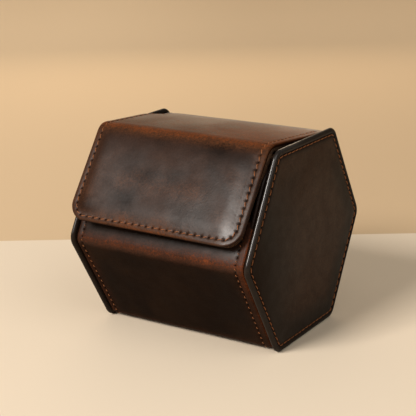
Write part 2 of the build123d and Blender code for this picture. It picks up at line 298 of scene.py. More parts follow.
def sheet_body(flat, triangles, u, place, thickness, edge_run, outward=0.0, inward=0.0):
    """A closed body over a flat sheet whose finished edges are rounded.

    place(flat, depth) gives points in space. outward is how far each outer point stands above
    the surface, and inward how far each inner one below it. Returns points, faces, which flat
    point each belongs to, and each one's depth.
    """
    run = np.clip(1 - u / edge_run, 0, 1)
    fall = thickness / 2 * (1 - np.sqrt(1 - run**2))
    rim = u < 1e-4
    outer_depth = fall - outward * ~rim
    inner_depth = thickness - fall + inward
    outer = place(flat, outer_depth)
    inner = place(flat, inner_depth)
    inner_index = np.where(rim, np.arange(len(flat)), -1)
    inner_index[~rim] = len(flat) + np.arange((~rim).sum())
    keep = triangles[~rim[triangles].all(axis=1)]
    faces = [tuple(f) for f in keep] + [tuple(f) for f in inner_index[keep][:, ::-1]]
    edges = dict.fromkeys((a, b) for face in keep for a, b in zip(face, np.roll(face, -1)))
    for a, b in edges:
        if (b, a) not in edges and not (rim[a] and rim[b]):
            wall = [b, a, inner_index[a], inner_index[b]]
            faces.append(tuple(dict.fromkeys(int(i) for i in wall)))
    owner = np.concatenate([np.arange(len(flat)), np.flatnonzero(~rim)])
    depth = np.concatenate([outer_depth, inner_depth[~rim]])
    return np.concatenate([outer, inner[~rim]]), faces, owner, depth


# --- stitches ---
class Row:
    """A stitch row: a line in space with the surface's normals."""

    def __init__(self, points, normals, closed=False):
        self.points = np.asarray(points, float)
        self.normals = np.asarray(normals, float)
        if closed:
            self.points = np.vstack([self.points, self.points[:1]])
            self.normals = np.vstack([self.normals, self.normals[:1]])
        gaps = np.linalg.norm(np.diff(self.points, axis=0), axis=1)
        self.v = np.concatenate([[0], np.cumsum(gaps)])
        count = round(self.v[-1] / PITCH)
        pitch = self.v[-1] / count
        self.starts = np.arange(count) * pitch
        self.ends = self.starts + pitch
        self.holes = self.at(np.arange(count if closed else count + 1) * pitch)[0]

    def at(self, v):
        """Points and normals at distances along the row."""
        v = np.clip(v, 0, self.v[-1])
        point, normal = (
            np.stack([np.interp(v, self.v, axis) for axis in values.T], axis=-1)
            for values in (self.points, self.normals)
        )
        return point, normal / np.linalg.norm(normal, axis=-1, keepdims=True)

    def part(self, keep):
        """The stitches whose middles satisfy a test on their place."""
        part = Row.__new__(Row)
        part.__dict__.update(self.__dict__)
        middles = self.at((self.starts + self.ends) / 2)[0]
        chosen = np.array([keep(place) for place in middles])
        part.starts, part.ends = self.starts[chosen], self.ends[chosen]
        return part


def thread_mesh(rows, radius, slant, lift, cover):
    """Short slanted loops of thread between neighbouring holes of the rows."""
    sides, rings = 7, 7
    end_deep = 0.32     # how far a loop's ends go down into their holes
    places, faces, along_thread = [], [], []
    for row in rows:
        for number, (start, end) in enumerate(zip(row.starts, row.ends)):
            middle = (start + end) / 2
            reach = (end - start) / 2 * cover
            shares = np.linspace(-1, 1, rings)
            points, normals = row.at(middle + reach * shares)
            ahead = points[-1] - points[0]
            ahead /= np.linalg.norm(ahead)
            aside = np.cross(normals, ahead)
            aside /= np.linalg.norm(aside, axis=1, keepdims=True)
            wobble = 0.05 * math.sin(number * 2.4 + row.v[-1])
            height = lift * (1 - shares**2) ** 0.5 - (end_deep - lift) * shares**4
            line = points + aside * (slant * shares + wobble)[:, None] + normals * height[:, None]
            size = radius * (1 - 0.35 * shares**4)
            first = len(places)
            for j in range(rings):
                for k in range(sides):
                    angle = 2 * math.pi * k / sides
                    offset = aside[j] * math.cos(angle) + normals[j] * math.sin(angle)
                    places.append(line[j] + offset * size[j])
                    along_thread.append((k / sides, (shares[j] + 1) * reach, number))
            for j in range(rings - 1):
                for k in range(sides):
                    a, b = first + j * sides + k, first + j * sides + (k + 1) % sides
                    faces.append((a, b, b + sides, a + sides))
            faces.append(tuple(first + k for k in reversed(range(sides))))
            faces.append(tuple(first + (rings - 1) * sides + k for k in range(sides)))
    return np.array(places), faces, np.array(along_thread)


def kd_tree(places):
    tree = KDTree(len(places))
    for i, place in enumerate(places):
        tree.insert(place, i)
    tree.balance()
    return tree


def hole_field(places, holes, reach):
    """Closeness of each place to the nearest of the holes, 1 at one and falling off over reach."""
    tree = kd_tree(holes)
    near = np.array([tree.find(p)[2] for p in places])
    return np.exp(-((near / reach) ** 2))


def bump(value, centre, width):
    """A bell, 1 at the centre."""
    return np.exp(-(((value - centre) / width) ** 2))


def smooth(value, low, high):
    """A soft step from 0 at low to 1 at high."""
    t = np.clip((value - low) / (high - low), 0, 1)
    return t * t * (3 - 2 * t)


# --- materials ---
def new_material(name, roughness, specular, sheen=0.0, coat_roughness=0.3):
    material = bpy.data.materials.new(name)
    material.use_nodes = True
    shader = material.node_tree.nodes["Principled BSDF"]
    shader.inputs["Roughness"].default_value = roughness
    shader.inputs["Specular IOR Level"].default_value = specular
    shader.inputs["Sheen Weight"].default_value = sheen
    shader.inputs["Coat Roughness"].default_value = coat_roughness
    return material, material.node_tree, shader


def feed(value, socket):
    """Links a socket to another, or sets it to a number, a vector or a colour."""
    if hasattr(value, "id_data"):
        value.id_data.links.new(value, socket)
    else:
        socket.default_value = (*value, 1) if socket.type == "RGBA" else value


def node(tree, kind, **values):
    """A new node; the values are for its sockets or else its settings."""
    made = tree.nodes.new(kind)
    for key, value in values.items():
        if key in made.inputs:
            feed(value, made.inputs[key])
        else:
            setattr(made, key, value)
    return made


def attribute(tree, name):
    return node(tree, "ShaderNodeAttribute", attribute_name=name)


def tree_of(*values):
    """The node tree of the first socket among the values."""
    return next(value for value in values if hasattr(value, "id_data")).id_data


def noise_at(where, scale, detail, distortion, rough):
    look = {"Scale": scale, "Detail": detail, "Distortion": distortion, "Roughness": rough}
    return node(where.id_data, "ShaderNodeTexNoise", Vector=where, **look).outputs["Fac"]


def ramp(value, low, high, to_low=0.0, to_high=1.0):
    made = node(value.id_data, "ShaderNodeMapRange", interpolation_type="SMOOTHSTEP")
    names = ("Value", "From Min", "From Max", "To Min", "To Max")
    for key, given in zip(names, (value, low, high, to_low, to_high)):
        feed(given, made.inputs[key])
    return made.outputs["Result"]


def calc(operation, a, b=None, clamp=False):
    made = node(tree_of(a, b), "ShaderNodeMath", operation=operation, use_clamp=clamp)
    feed(a, made.inputs[0])
    if b is not None:
        feed(b, made.inputs[1])
    return made.outputs[0]


def times(a, b, clamp=False):
    return calc("MULTIPLY", a, b, clamp)


def plus(a, b):
    return calc("ADD", a, b)


def minus(a, b, clamp=False):
    return calc("SUBTRACT", a, b, clamp)


def mix(factor, a, b, blend="MIX"):
    made = node(tree_of(factor, a, b), "ShaderNodeMix", data_type="RGBA", blend_type=blend)
    for socket, value in ((0, factor), (6, a), (7, b)):
        feed(value, made.inputs[socket])
    return made.outputs[2]


def srgb(red, green, blue):
    """A colour given as it looks on screen, from 0 to 255."""
    values = (c / 255 for c in (red, green, blue))
    return tuple(c / 12.92 if c <= 0.04045 else ((c + 0.055) / 1.055) ** 2.4 for c in values)


def set_bump(shader, heights):
    """Chains bump nodes: each height has a size in metres."""
    for height, size in heights:
        made = node(shader.id_data, "ShaderNodeBump", Strength=1.0, Distance=size, Height=height)
        for link in shader.inputs["Normal"].links:
            feed(link.from_socket, made.inputs["Normal"])
        feed(made.outputs["Normal"], shader.inputs["Normal"])


def leather_material(name, colours, roughness, specular, waxed=0.0, grainy=1.0):
    """Waxed pull-up leather: dark and smoky, brown where rubbed, burnished where it bends.

    The colours are those of its dark and light clouds, of light rubbing and of full rubbing; on
    the ends the light-rubbing colour also paints light.
    """
    dark, light, middle, worn = (srgb(*colour) for colour in colours)
    material, tree, shader = new_material(name, roughness, specular, coat_roughness=0.25)
    where = attribute(tree, "flat").outputs["Vector"]
    wear, hole, polish, gloss = (
        attribute(tree, key).outputs["Fac"] for key in ("wear", "hole", "polish", "gloss")
    )
    clouds = noise_at(where, 34, 3, 0.6, 0.5)
    patches = noise_at(where, 190, 4, 0.3, 0.6)
    grain = noise_at(where, 1400, 4, 0.2, 0.65)
    specks = noise_at(where, 1000, 5, 0.0, 0.8)
    base = mix(ramp(clouds, 0.36, 0.64), dark, light)
    uneven = times(minus(patches, 0.5), 1.2 * grainy)
    speckle = times(minus(specks, 0.5), 4.0 * grainy)
    amount = times(wear, plus(plus(uneven, speckle), 1.0), clamp=True)
    colour = mix(ramp(amount, 0.0, 0.42), base, middle)
    colour = mix(ramp(amount, 0.3, 0.95), colour, worn)
    shaded = mix(1.0, colour, ramp(grain, 0.25, 0.75, 0.75, 1.2), "MULTIPLY")
    # Painted shade: near black in the stitch holes, along the end's stitch groove and on the rim's
    # inner side; the same dark also colours the cut edges.
    final = mix(times(hole, 0.97, clamp=True), shaded, srgb(8, 5, 4))
    feed(final, shader.inputs["Base Color"])
    rough = ramp(clouds, 0.3, 0.7, roughness - 0.04, roughness + 0.06)
    rough = plus(rough, times(wear, 0.12))
    rough = minus(rough, times(polish, 0.2), clamp=True)
    feed(rough, shader.inputs["Roughness"])
    shine = ramp(patches, 0.25, 0.75, specular * 0.8, specular * 1.2)
    shine = times(times(shine, gloss), minus(1.0, hole, clamp=True))
    matt = times(ramp(amount, 0.15, 0.7), 0.75)
    shine = times(shine, minus(1.0, matt))
    feed(shine, shader.inputs["Specular IOR Level"])
    if waxed:
        feed(times(polish, waxed), shader.inputs["Coat Weight"])
    slanting = {"Scale": (0.45, 1.0, 1.0), "Rotation": (0, 0, 0.35)}
    creases = node(tree, "ShaderNodeMapping", Vector=where, **slanting).outputs[0]
    wrinkle = times(noise_at(creases, 1100, 3, 0.5, 0.6), wear)
    heights = [(patches, 0.00005), (wrinkle, 0.0001 * grainy), (grain, 0.00005 * grainy)]
    set_bump(shader, heights)
    return material


def suede_material(name, colour, pale, edged=False):
    """Napped suede; a piece with cut edges has a dark, fibrous rim."""
    colour, pale = srgb(*colour), srgb(*pale)
    material, tree, shader = new_material(name, 0.92, 0.1, 0.15)
    shader.inputs["Sheen Roughness"].default_value = 0.45
    shader.inputs["Sheen Tint"].default_value = (*pale, 1)
    where = node(tree, "ShaderNodeTexCoord").outputs["Object"]
    nap = noise_at(where, 60, 3, 0.2, 0.5)
    fibres = noise_at(where, 2600, 4, 0.4, 0.7)
    base = mix(ramp(nap, 0.2, 0.8), colour, pale)
    if edged:
        rim = attribute(tree, "rim").outputs["Fac"]
        fibre = mix(ramp(fibres, 0.4, 0.65), srgb(26, 17, 11), srgb(84, 60, 42))
        base = mix(rim, base, fibre)
    shade = ramp(fibres, 0.25, 0.75, 0.7, 1.25)
    feed(mix(1.0, base, shade, "MULTIPLY"), shader.inputs["Base Color"])
    set_bump(shader, [(nap, 0.0001), (fibres, 0.00012)])
    return material


def grainy_material(name, colour, other, scale, roughness):
    """A plain material with fine grain, for boards, rails, cup and magnets."""
    material, tree, shader = new_material(name, roughness, 0.4)
    where = node(tree, "ShaderNodeTexCoord").outputs["Object"]
    grain = noise_at(where, scale, 5, 0.3, 0.65)
    grained = mix(ramp(grain, 0.3, 0.7), srgb(*colour), srgb(*other))
    feed(grained, shader.inputs["Base Color"])
    set_bump(shader, [(grain, 0.00005)])
    return material


def thread_material(name, colour, dark):
    """Twisted thread; its flat attribute is (turn round it, millimetres along it, its number)."""
    material, tree, shader = new_material(name, 0.6, 0.12)
    where = attribute(tree, "flat").outputs["Vector"]
    around, along, _ = node(tree, "ShaderNodeSeparateXYZ", Vector=where).outputs
    turn = plus(around, times(along, 1.6))
    strand = calc("ABSOLUTE", calc("SINE", times(turn, 2 * math.pi)))
    # Painted shade: the grooves between the twisted strands are painted darker.
    twist_with_painted_shade = mix(ramp(strand, 0.0, 0.7), srgb(*dark), srgb(*colour))
    feed(twist_with_painted_shade, shader.inputs["Base Color"])
    set_bump(shader, [(strand, 0.00008)])
    return material


flap_skin = leather_material(
    "flap_skin", ((25, 17, 13), (48, 33, 26), (72, 45, 29), (106, 58, 32)), 0.37, 0.42
)
shell_skin = leather_material(
    "shell_skin", ((23, 14, 9), (31, 20, 13), (60, 33, 20), (108, 56, 30)), 0.4, 0.32
)
end_skin = leather_material(
    "end_skin", ((24, 17, 13), (31, 22, 16), (70, 46, 31), (72, 44, 28)), 0.46, 0.1, 0.7, 0.6
)
gusset_skin = leather_material(
    "gusset_skin", ((24, 14, 9), (34, 19, 12), (60, 33, 20), (104, 47, 20)), 0.5, 0.15
)
saddle_thread = thread_material("saddle_thread", (158, 100, 62), (84, 48, 28))
lining_suede = suede_material("lining_suede", (96, 70, 52), (124, 92, 70))
flap_suede = suede_material("flap_suede", (96, 70, 52), (124, 92, 70), True)
pad_suede = suede_material("pad_suede", (138, 106, 78), (156, 122, 93))
board_card = grainy_material("board_card", (120, 104, 84), (146, 128, 104), 700, 0.85)
rail_wood = grainy_material("rail_wood", (150, 112, 74), (182, 142, 98), 240, 0.6)
cup_leather = grainy_material("cup_leather", (58, 36, 24), (78, 50, 33), 1500, 0.55)
magnet_plate = grainy_material("magnet_plate", (150, 150, 152), (176, 176, 178), 900, 0.3)


def dress(piece, material, body=None, replaces=()):
    """Gives a piece its material and body, and hides the imported parts that it stands for."""
    piece.data.materials.clear()
    piece.data.materials.append(material)
    if body:
        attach(piece, body)
    if replaces:
        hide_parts(*replaces)
    return piece


# --- the flap sits a little askew, its left side over the rim ---
def down_front(s):
    """How far down the flap's front a place lies: 0 at the fold, 1 at the flap's end."""
    return (s - S_FOLD) / (S_END - S_FOLD)


def over_top(s):
    """How far over the box's top a place lies: 0 at the hinge, 1 at the fold."""
    return (s - S_HINGE) / (S_FOLD - S_HINGE)


def along_wrap(places):
    """Each place's distance along the wrap, from a little before the hinge on."""
    line, distances = wrap.yz[::2], wrap.s[::2]
    upper = distances > S_SHELL - 8
    line, distances = line[upper], distances[upper]
    nearest = [np.argmin(((line - yz) ** 2).sum(axis=1)) for yz in places[:, 1:]]
    return distances[nearest]


def askew(places, widen=SIDE_SPREAD):
    """Lifts and spreads the flap's left side, more and more from the hinge on."""
    past = along_wrap(places) - S_HINGE
    left = (1 - places[:, 0] / FLAP_X) / 2
    ridge = smooth(past, 10, S_FOLD - S_HINGE) * np.clip(1 - (past - S_FOLD + S_HINGE) / 46, 0, 1)
    moved = places.copy()
    moved[:, 0] -= widen * left * smooth(past, 6, 24)
    moved[:, 0] *= 1 + (SHELL_X / FLAP_X - 1) * (1 - smooth(past, -BEND_STRIP, 9))
    moved[:, 1] -= SIDE_FORWARD * left * smooth(past, 6, 50) - FOLD_BACK * (1 - left) * ridge
    moved[:, 2] += SIDE_LIFT * left * smooth(past, 5, 22) + FOLD_UP * (1 - 0.7 * left) * ridge
    return moved


# --- leather that wraps the box ---
def row_on_wrap(line, lift=0.0):
    """A stitch row along a line of (x, s) on the wrap."""
    return Row(wrap.place(line, -lift), wrap.normal(line[:, 1]))


def flap_row_line():
    """The flap's stitch row: down its left side, round the lower corners and up its right."""
    x, radius = FLAP_X - FLAP_ROW, FLAP_CORNER - FLAP_ROW
    start, low = S_HINGE + 5.5, S_END - FLAP_CORNER
    line = [(-x, s) for s in steps(start, low, ROW_STEP)]
    quarter = np.linspace(0, math.pi / 2, 24)[1:-1]
    line += [(-x + radius - radius * math.cos(a), low + radius * math.sin(a)) for a in quarter]
    line += [(t, S_END - FLAP_ROW) for t in steps(-(x - radius), x - radius, ROW_STEP)]
    line += [(x - radius + radius * math.sin(a), low + radius * math.cos(a)) for a in quarter]
    line += [(x, s) for s in steps(start, low, ROW_STEP)[::-1]]
    line = np.array(line)
    # Along the flap's end the row runs a little aslant, as it does in the photo.
    line[:, 1] += (0.5 - 0.013 * line[:, 0]) * smooth(line[:, 1], low, S_END - FLAP_ROW)
    return line


def fold_crest(s):
    """The leather stands a little proud where it folds."""
    return CREST * bump(s, S_FOLD, 3.4)


flap_line = flap_row_line()
flap_row = row_on_wrap(flap_line, fold_crest(flap_line[:, 1]))
shell_rows = [
    row_on_wrap(np.array([(x, s) for s in steps(1.6, S_SHELL - 1.5, ROW_STEP)]))
    for x in (SHELL_X - SHELL_ROW, SHELL_ROW_LEFT - SHELL_X)
]
lip_row = row_on_wrap(np.array([(x, 2.8) for x in steps(8 - SHELL_X, SHELL_X - 8, ROW_STEP)]))


def wrap_wear(x, s, u, flap):
    """Where the leather is rubbed brown: its bends, its edges and its side margins."""
    grit = lumps(spots(x, s), 2.4, 3.0)
    wide = lumps(spots(x, s), 10.0, 7.0)
    away = s - S_FOLD + 1.5 + 0.7 * grit
    wear = 0.74 * np.exp(-(np.abs(away / np.where(away > 0, 3.9, 5.4)) ** 1.7))
    top = (0.42 + 0.3 * smooth(x, -15, 36) + 0.08 * wide) * smooth(s, S_HINGE, S_HINGE + 8)
    wear = np.maximum(wear, top * (1 - smooth(s, S_FOLD - 6, S_FOLD + 3)))
    away = s - S_BENDS[0] + 1.2 + 0.8 * grit
    front = (0.4 + 0.12 * smooth(x, -20, 36)) * (1 + 0.25 * wide)
    wear = np.maximum(wear, front * np.exp(-(np.abs(away / np.where(away > 0, 3.2, 3.4)) ** 1.8)))
    for bend, amount in ((S_BENDS[1], 0.2), (S_BENDS[2], 0.3), (S_BENDS[3], 0.75), (S_HINGE, 0.6)):
        wear = np.maximum(wear, amount * np.exp(-(np.abs((s - bend + 0.6 * grit) / 3.4) ** 2.4)))
    if flap:
        margin = 0.09 * smooth(-u, -3.4, -2.2) + 0.2 * smooth(-u - 1.4 * wide, -9.0, -3.0)
        margin += 0.1 * smooth(-u, -1.4, -0.4)
        down = down_front(s)
        margin += (0.16 + 0.2 * wide) * bump(down, 0.84, 0.2) * bump(x, -8, 18)
        margin = np.maximum(margin, (0.13 + 0.08 * wide) * smooth(down, 0.05, 0.4))
    else:
        margin = 0.1 * smooth(-u, -3.8, -1.0) + 0.14 * smooth(-u - 2.0 * wide, -10.0, -3.0)
        margin += 0.4 * smooth(-u, -0.9, -0.3)
        margin += 0.35 * smooth(x, SHELL_X - 3.4, SHELL_X - 2.6) * bump(s, S_BENDS[0], 12)
    wear = np.maximum(wear, margin * (0.8 + 0.4 * wide))
    return np.clip(wear + 0.04 * wide, 0, 1)


def wrap_gloss(x, s):
    """How much the leather shines: most on the top by the hinge, least on the shell."""
    shell = smooth(s, S_BENDS[0] - 1, S_BENDS[0] + 3) * (1 - smooth(s, S_SHELL, S_HINGE))
    down = np.clip(down_front(s), 0, 1)
    flap = 0.42 + 0.14 * down**1.8 * smooth(x, -16, 34)
    flap = flap + 0.9 * smooth(x, 30, 37) * smooth(down, 0.2, 0.7)
    flap += 0.38 * bump(x, -26, 15) * bump(down, 0.5, 0.3) + 0.12 * lumps(spots(x, s), 9.0, 51.0)
    flap = 0.1 + (flap - 0.1) * smooth(s, S_FOLD, S_FOLD + 16)
    over = np.clip(over_top(s), 0, 1)
    top = 0.1 + 3.7 * (1 - over) ** 3 * (1 + 0.95 * smooth(x, -10, 36))
    flap = np.where(s < S_FOLD, top, flap)
    flap = np.where(s < S_BENDS[1], 0.45 + 0.3 * smooth(x, 12, 38), flap)
    return flap * (1 - 0.93 * shell)


def wrap_sheet(name, half, s0, s1, r1, flap):
    """A stretch of the leather that wraps the box, from one place along it to another."""
    bends = [(a, b) for a, b in wrap.bends if b > s0 and a < s1]
    flat, triangles, u = flat_sheet((half, s0, s1, 0, r1), bends)
    x, s = flat.T
    uneven = 0.06 * lumps(spots(x, s), 12.0, 1.0) + 0.02 * lumps(spots(x, s), 3.5, 2.0)
    out = 0.1 * smooth(u, 3.2, 9.0) + uneven * smooth(u, 0.2, 3.0)
    if flap:
        down, over = np.clip(down_front(s), 0, 1), np.clip(over_top(s), 0, 1)
        out += 4 * FRONT_SWELL * down * (1 - down) * (1 - (x / half) ** 2)
        out += 4 * TOP_SWELL * over * (1 - over) * (1 - (x / half) ** 2)
        out += 0.5 * smooth(down, 0, 0.2) * smooth(u, 3.0, 8.0) + fold_crest(s)
        out -= 0.35 * smooth(x, 31, 39) * smooth(down, 0.1, 0.4)
    rows = FLAP_ROW if flap else np.where(x > 0, SHELL_ROW, SHELL_ROW_LEFT)
    out -= VALLEY_DEEP * bump(u, rows, VALLEY_HALF)
    near = hole_field(wrap.place(flat), all_holes, HOLE_REACH)
    out -= HOLE_DEEP * near
    places, faces, owner, depth = sheet_body(flat, triangles, u, wrap.place, LEATHER, 1.1, out)
    x, s, u, near = x[owner], s[owner], u[owner], near[owner]
    inner = depth > LEATHER * 0.5 + 0.01
    # By the flap's edge and by its left stitch row the leather is dull.
    shade = 0.3 * smooth(-u, -2.2, -1.1) * (1 + smooth(-x, -30, 0))
    dull_row = 0.9 * bump(u, 4.9, 1.9) * smooth(-x, 26, 34) * smooth(s, S_FOLD, S_FOLD + 6)
    shade = np.maximum(shade, dull_row)
    cut = smooth(depth, 0.12, 0.65) if flap else smooth(depth, 0.35, 0.8)
    # Painted shade: the stitch holes are painted near black; the cut edges and the flesh side are
    # coloured dark.
    attributes = leather_attributes(
        np.stack([x, s, depth], axis=1),
        wear=wrap_wear(x, s, u, flap),
        hole=np.maximum(np.where(inner, 0, smooth(near, 0.25, 0.75)), 0.8 * cut),
        gloss=wrap_gloss(x, s) * (1 - flap * shade),
    )
    if flap:
        places = askew(places)
    return make_mesh(name, places, faces, attributes, sharp=50)


all_holes = np.vstack([flap_row.holes, shell_rows[0].holes, shell_rows[1].holes, lip_row.holes])
hinge_start = wrap.point(S_HINGE - HINGE_BEND, HINGE_DEEP) * MM
hinge_end = wrap.point(S_HINGE + HINGE_BEND, HINGE_DEEP) * MM
fold_start = wrap.point(S_FOLD - BEND_STRIP) * MM
fold_end = wrap.point(S_FOLD + BEND_STRIP) * MM


def over_hinge(piece):
    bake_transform(piece)


def over_fold(piece):
    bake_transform(piece)


shell_leather = wrap_sheet("shell_wrap", SHELL_X, 0, S_SHELL, 0, False)
dress(shell_leather, shell_skin, "shell", ["shell_leather"])

flap_rear = wrap_sheet("flap_leather_rear", FLAP_X, S_SHELL, S_SPLIT, 0, True)
dress(flap_rear, flap_skin, None, ["hinge_leather", "flap_top_leather"])
over_hinge(flap_rear)

flap_fore = wrap_sheet("flap_leather_front", FLAP_X, S_SPLIT, S_END, FLAP_CORNER, True)
dress(flap_fore, flap_skin, None, ["fold_leather", "flap_front_leather"])
over_fold(flap_fore)


def backing_thickness(s):
    """The backing is as thin as a lining where the flap bends."""
    thin = np.maximum(bump(s, S_HINGE, BACK_BEND), bump(s, S_FOLD, BACK_BEND))
    return BACKING - (BACKING - LINING) * np.clip(1.3 * thin, 0, 1)


def backing_sheet(name, s0, s1, corner):
    """The suede-faced inner layer of the flap, thin where the flap bends."""
    half = BACKING_X
    end = s1 - BACKING_SETBACK if corner else s1
    bends = [(a, b) for a, b in wrap.bends if b > s0 and a < s1]
    insets = (0, 0.15, 0.4, 0.8, 1.6, 3.0)
    flat, triangles, u = flat_sheet((half, s0, end, 0, corner), bends, 2.6, insets, 0.6)
    x, s = flat.T
    uneven = 0.05 * lumps(spots(x, s), 8.0, 5.0)

    def place(where, depth):
        return wrap.place(where, LEATHER - GLUE + depth)

    ragged = 0.12 * lumps(spots(x, s), 0.9, 4.0) * smooth(-u, -0.3, 0)
    moved = flat.copy()
    past_fold = 1.5 * bump(s, S_FOLD + 3, 12) * smooth(abs(x), 34, half)
    moved[:, 0] += np.sign(x) * (ragged + past_fold)
    thickness = backing_thickness(s) + GLUE
    places, faces, owner, _ = sheet_body(
        moved, triangles, u, place, thickness, 0.35, inward=uneven
    )
    rim = smooth(-u[owner], -0.7, -0.3)
    return make_mesh(name, askew(places, 0), faces, {"rim": rim}, sharp=50)


backing_rear = backing_sheet("flap_backing_rear", S_SHELL, S_SPLIT, 0)
hidden = ["hinge_lining", "flap_top_backing", "flap_top_board"]
dress(backing_rear, flap_suede, None, hidden)
over_hinge(backing_rear)

backing_fore = backing_sheet("flap_backing_front", S_SPLIT, S_END, FLAP_CORNER - 1.4)
hidden = ["fold_lining", "flap_front_backing", "flap_front_board", "flap_magnets"]
dress(backing_fore, flap_suede, None, hidden)
over_fold(backing_fore)


# --- threads of the wrap ---
def thread_piece(name, rows, body=None, radius=0.22, slant=0.3, lift=0.06, cover=0.7, shaped=None):
    """Threads of one or more rows as one piece."""
    places, faces, along = thread_mesh(rows, radius, slant, lift, cover)
    if shaped:
        places = shaped(places)
    piece = make_mesh(name, places, faces, {"flat": along})
    return dress(piece, saddle_thread, body)


def flap_threads(name, row, **look):
    """A row of the flap in two pieces, one across the hinge and one across the fold."""
    split_y = wrap.point(S_SPLIT)[1]
    rear = row.part(lambda place: place[1] > split_y)
    fore = row.part(lambda place: place[1] <= split_y)
    over_hinge(thread_piece(name + "_rear", [rear], **look))
    over_fold(thread_piece(name + "_front", [fore], **look))


thread_piece("shell_side_stitches", shell_rows, "shell", radius=0.18, cover=0.22, lift=0.1)
thread_piece("lip_stitches", [lip_row], "shell")
flap_threads("flap_stitches", flap_row, shaped=askew, radius=0.19, cover=0.62)


# --- the two ends ---
def hex_ring(inset):
    """The end's outline at an inset: (y, z) points, the same number whatever the inset."""
    side_steps, corner_steps = 30, 10
    around = max(CORNER_RADIUS - inset, 0.45)
    reach = (FLATS / 2 - inset) / math.cos(math.pi / 6)
    centre = np.array([0, FLATS / 2])
    arcs = []
    for corner in range(6):
        facing = math.radians(60 * corner + 30)
        out = np.array([math.cos(facing + math.pi / 6), math.sin(facing + math.pi / 6)])
        middle = centre + out * (reach - around / math.cos(math.pi / 6))
        angles = np.linspace(facing, facing + math.pi / 3, corner_steps + 1)
        arcs.append([middle + around * np.array([math.cos(a), math.sin(a)]) for a in angles])
    points = []
    for arc, following in zip(arcs, arcs[1:] + arcs[:1]):
        points += arc
        gap = following[0] - arc[-1]
        points += [arc[-1] + gap * i / side_steps for i in range(1, side_steps)]
    return np.array(points)


def tube_faces(rings, count):
    """Faces of a closed body made of rings of points, with a cap at each end."""
    faces = []
    for j in range(rings - 1):
        for i in range(count):
            a, b = j * count + i, j * count + (i + 1) % count
            faces.append((a, a + count, b + count, b))
    faces.append(tuple(range(count)))
    faces.append(tuple((rings - 1) * count + i for i in reversed(range(count))))
    return faces


def ring_body(section):
    """A closed body swept round the end's outline; the section is (inset, x) from face to back.

    Returns points, faces and each point's inset.
    """
    rings = [np.insert(hex_ring(inset), 0, x, axis=1) for inset, x in section]
    count = len(rings[0])
    insets = np.repeat([inset for inset, _ in section], count)
    return np.concatenate(rings), tube_faces(len(rings), count), insets


def from_axis(places):
    """Each place's direction away from the line through the middles of the ends."""
    away = (places - np.array([0, 0, FLATS / 2])) * np.array([0, 1, 1])
    return away / np.maximum(np.linalg.norm(away, axis=1, keepdims=True), 1e-6)


def bead_section():
    """An end leather from the middle of its face, over the rolled rim, to its recess."""
    insets = (44.2, 38, 30, 22, 15, 10, 7.5, 6)
    section = [(u, FACE_X - 0.16 - 0.12 * smooth(u, 5, 44)) for u in insets]
    # The valley of the stitch row.
    valley = ((5.0, 0.17), (4.2, 0.22), (3.7, 0.32), (3.35, 0.5))
    valley += ((END_ROW, 0.58), (2.85, 0.56), (2.55, 0.6), (2.25, 0.4))
    section += [(u, FACE_X - below) for u, below in valley]
    # The rolled rim.
    middle, half, deep = (FACE_X + BEAD_X) / 2, (FACE_X - BEAD_X) / 2, 1.7
    for angle in np.radians(np.linspace(82, -90, 24)):
        section.append((deep - deep * math.cos(angle), middle + half * math.sin(angle)))
    # The groove beside it, and the back.
    groove = ((1.78, 0.02), (1.9, 0.07), (1.75, 0.14), (1.65, 0.24))
    section += [(u, BEAD_X - below) for u, below in groove]
    section += [(1.7, RIM_X + 0.15), (2.0, RIM_X), (2.6, RIM_X)]
    return section + [(u, COVER_X) for u in (2.6, 8, 20, 32, 44.2)]


def end_cover(name, mirror):
    """The outer leather of an end, its edge turned into the rolled rim."""
    flat, faces, inset = ring_body(bead_section())
    on_face = flat[:, 0] > COVER_X + 0.5
    bead = smooth(-inset, -2.2, -1.4) * (flat[:, 0] > BEAD_X - 0.01)
    lumpy = 0.04 * lumps(flat, 7.0, 11.0) + 0.012 * lumps(flat, 2.2, 12.0)
    toward = from_axis(flat)
    places = flat + toward * (bead * (lumpy - 0.06))[:, None]
    places[:, 0] += 0.1 * lumps(flat, 16.0, 15.0) * smooth(inset, 3.5, 9) * on_face - 0.02
    # Painted light: the face is painted lighter and browner from its front edge towards its middle
    # and rear, and near its top.
    centre = smooth(flat[:, 1], -46, 4) * smooth(inset, 4, 16)
    top = smooth(flat[:, 2], 55, 86) * smooth(inset, 2.5, 6)
    wear = 0.18 * np.maximum(centre, top) * on_face
    # The rim is waxed most where it faces up and forward, and less on the left end.
    upper_front = smooth(toward @ np.array([0, -0.75, 0.66]), 0.7, 0.85)
    waxed = 0.1 + 0.25 * smooth(toward[:, 2], 0.3, 0.9) + 0.95 * upper_front
    polish = bead * smooth(-inset, -1.5, -0.5) * waxed
    # Painted shade: the face is darkened along the stitch row's groove, and the rim's inner side,
    # in the gap by the gusset, is painted dark.
    row_shade = 0.75 * bump(inset, END_ROW - 0.15, 0.5) * on_face
    front = np.hypot((flat[:, 1] + 48) / 20, (flat[:, 2] - 36) / 30)
    attributes = leather_attributes(
        flat,
        wear=np.maximum(wear, 0.1 * bump(inset, END_ROW, 0.5)),
        hole=np.maximum(row_shade, 0.7 * (flat[:, 0] < BEAD_X)),
        polish=0.35 * polish if mirror else polish,
        gloss=1 - 0.8 * np.exp(-(front**2)) * (1 - bead),
    )
    return make_mesh(name, places, faces, attributes, 60, mirror)


